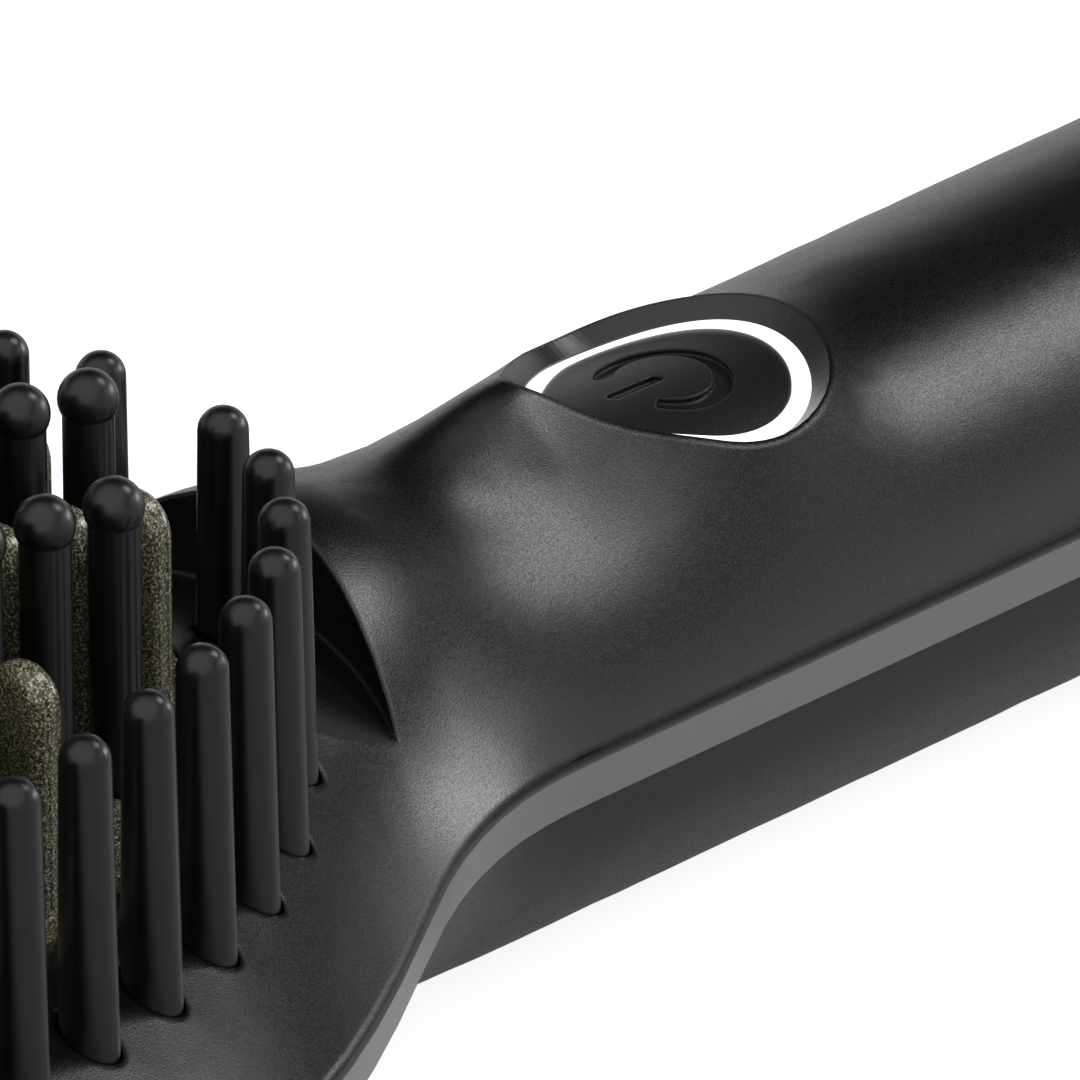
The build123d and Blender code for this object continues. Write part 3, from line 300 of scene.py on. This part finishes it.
# Studio: white walls near the horizon, a broad soft light overhead on the near side, darkness over
# the far side, and three soft lamps.
world = bpy.data.worlds.new("studio")
bpy.context.scene.world = world
world.use_nodes = True
tree = world.node_tree
tree.nodes.clear()
way = new_node(tree, "ShaderNodeTexCoord")
height = new_node(tree, "ShaderNodeSeparateXYZ", inputs={"Vector": way.outputs["Generated"]})
wall = new_node(tree, "ShaderNodeMapRange", inputs={
    "Value": height.outputs["Z"], "From Min": 0.12, "From Max": 0.50, "To Min": 0.75, "To Max": 0.02})
ceiling_way = (-0.583, -0.272, 0.766)
facing = new_node(tree, "ShaderNodeVectorMath", {"operation": "DOT_PRODUCT"}, {
    0: way.outputs["Generated"], 1: ceiling_way})
ceiling = new_node(tree, "ShaderNodeMapRange", inputs={
    "Value": facing.outputs["Value"], "From Min": 0.32, "From Max": 0.72, "To Min": 0.0, "To Max": 1.1})
room = new_node(tree, "ShaderNodeMath", {"operation": "MAXIMUM"}, {
    0: wall.outputs["Result"], 1: ceiling.outputs["Result"]})
path = new_node(tree, "ShaderNodeLightPath")
seen = new_node(tree, "ShaderNodeMath", {"operation": "MAXIMUM"}, {
    0: room.outputs["Value"], 1: path.outputs["Is Camera Ray"]})
sky = new_node(tree, "ShaderNodeBackground", inputs={
    "Color": linear("#ffffff"), "Strength": seen.outputs["Value"]})
output = new_node(tree, "ShaderNodeOutputWorld", inputs={"Surface": sky.outputs["Background"]})


def soft_lamp(name, azimuth, elevation, distance, size, power):
    """A rectangular area lamp that faces the brush; angles in degrees, power in watts."""
    lamp = bpy.data.lights.new(name, "AREA")
    lamp.shape = "RECTANGLE"
    lamp.size, lamp.size_y = size
    lamp.energy = power
    thing = bpy.data.objects.new(name, lamp)
    bpy.context.scene.collection.objects.link(thing)
    flat = cos(radians(elevation))
    way = Vector((flat * cos(radians(azimuth)), flat * sin(radians(azimuth)), sin(radians(elevation))))
    thing.location = way * distance + Vector((0, 0, 0.02))
    thing.rotation_mode = "QUATERNION"
    thing.rotation_quaternion = (-way).to_track_quat("-Z", "Y")


soft_lamp("key", -18, 48, 0.95, (0.28, 0.28), 1.8)
soft_lamp("low", -18, 11, 0.95, (0.36, 0.22), 1.6)
soft_lamp("side", -47, 25, 0.95, (0.50, 0.34), 0.5)

# Camera: the photograph's own, a long lens over the head's near side that looks along the handle.
target = Vector((-0.005, 0.0063, 0.013))
camera_distance = 0.75
look = Vector((0.6328, 0.6328, -0.4462)).normalized()
camera_data = bpy.data.cameras.new("camera")
camera_data.sensor_width = 36.0
camera_data.lens = 500.0
camera_data.clip_start, camera_data.clip_end = 0.05, 20.0
camera = bpy.data.objects.new("camera", camera_data)
bpy.context.scene.collection.objects.link(camera)
camera.location = target - look * camera_distance
camera.rotation_mode = "QUATERNION"
camera.rotation_quaternion = look.to_track_quat("-Z", "Y")
bpy.context.scene.camera = camera
bpy.context.scene.view_settings.view_transform = "Standard"
